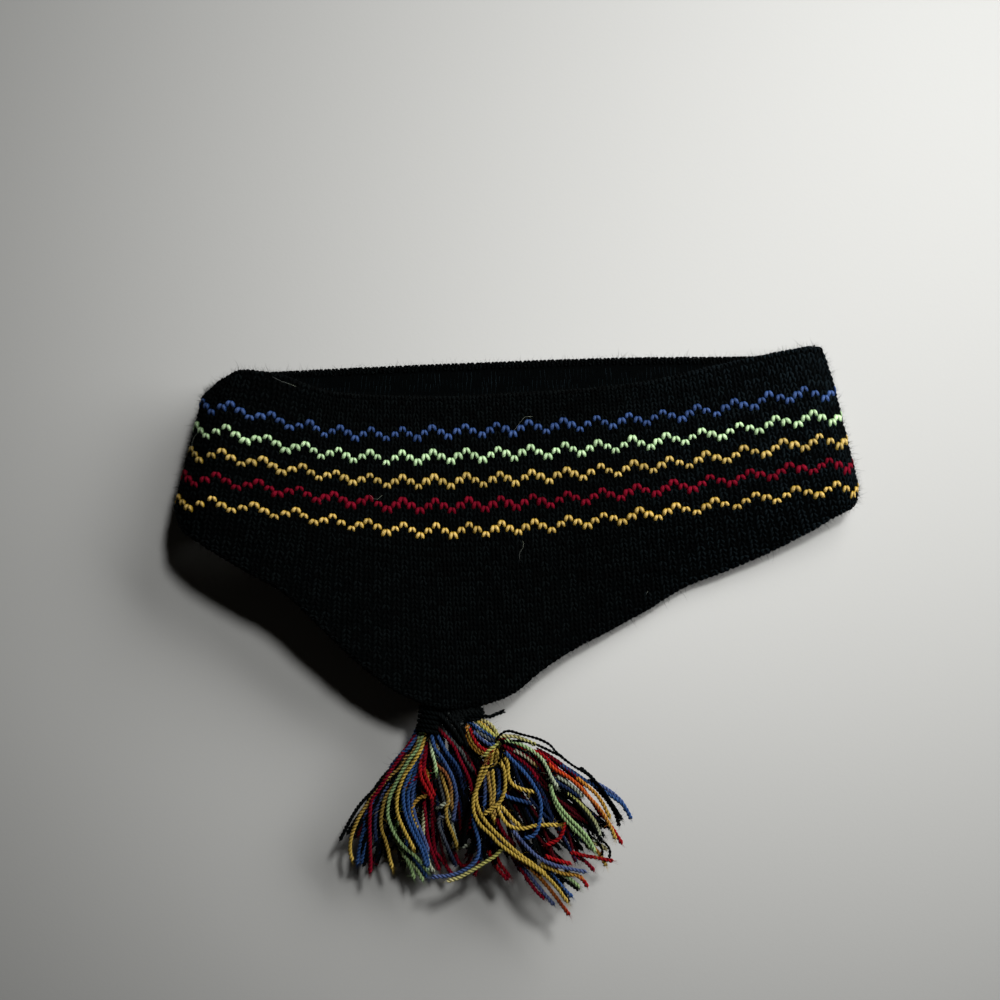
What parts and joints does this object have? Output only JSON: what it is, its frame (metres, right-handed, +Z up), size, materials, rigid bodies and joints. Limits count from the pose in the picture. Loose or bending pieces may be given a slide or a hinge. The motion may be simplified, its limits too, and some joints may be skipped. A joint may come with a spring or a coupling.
{
  "type": "knitted ear warmer headband with two yarn tassels",
  "caption": "Knitted tube that lies flat, with a V point at the front, zigzag stripes and two yarn tassels sewn to the point; worn round the head over the ears.",
  "frame": {"origin": "on the surface that it lies on, under the middle of the whole thing's box", "axes": "+X along the band's width to the right, +Y towards the crown edge, away from the point and tassels, +Z up out of the front layer"},
  "size_m": [0.2364, 0.1904, 0.024],
  "materials": {
    "black_knit": "matte, fine wool knit with zigzag stripes in blue, green, gold and crimson",
    "tassel_yarn": "matte two-ply yarn in mixed colours",
    "black_yarn": "matte black wool yarn"
  },
  "bodies": {
    "root": {"knit_band": "black_knit", "tassel_left": "tassel_yarn", "tassel_right": "tassel_yarn", "neck_wrap": "black_yarn", "waist_tie": "black_yarn", "sewing_yarn": "black_yarn"}
  },
  "joints": []
}
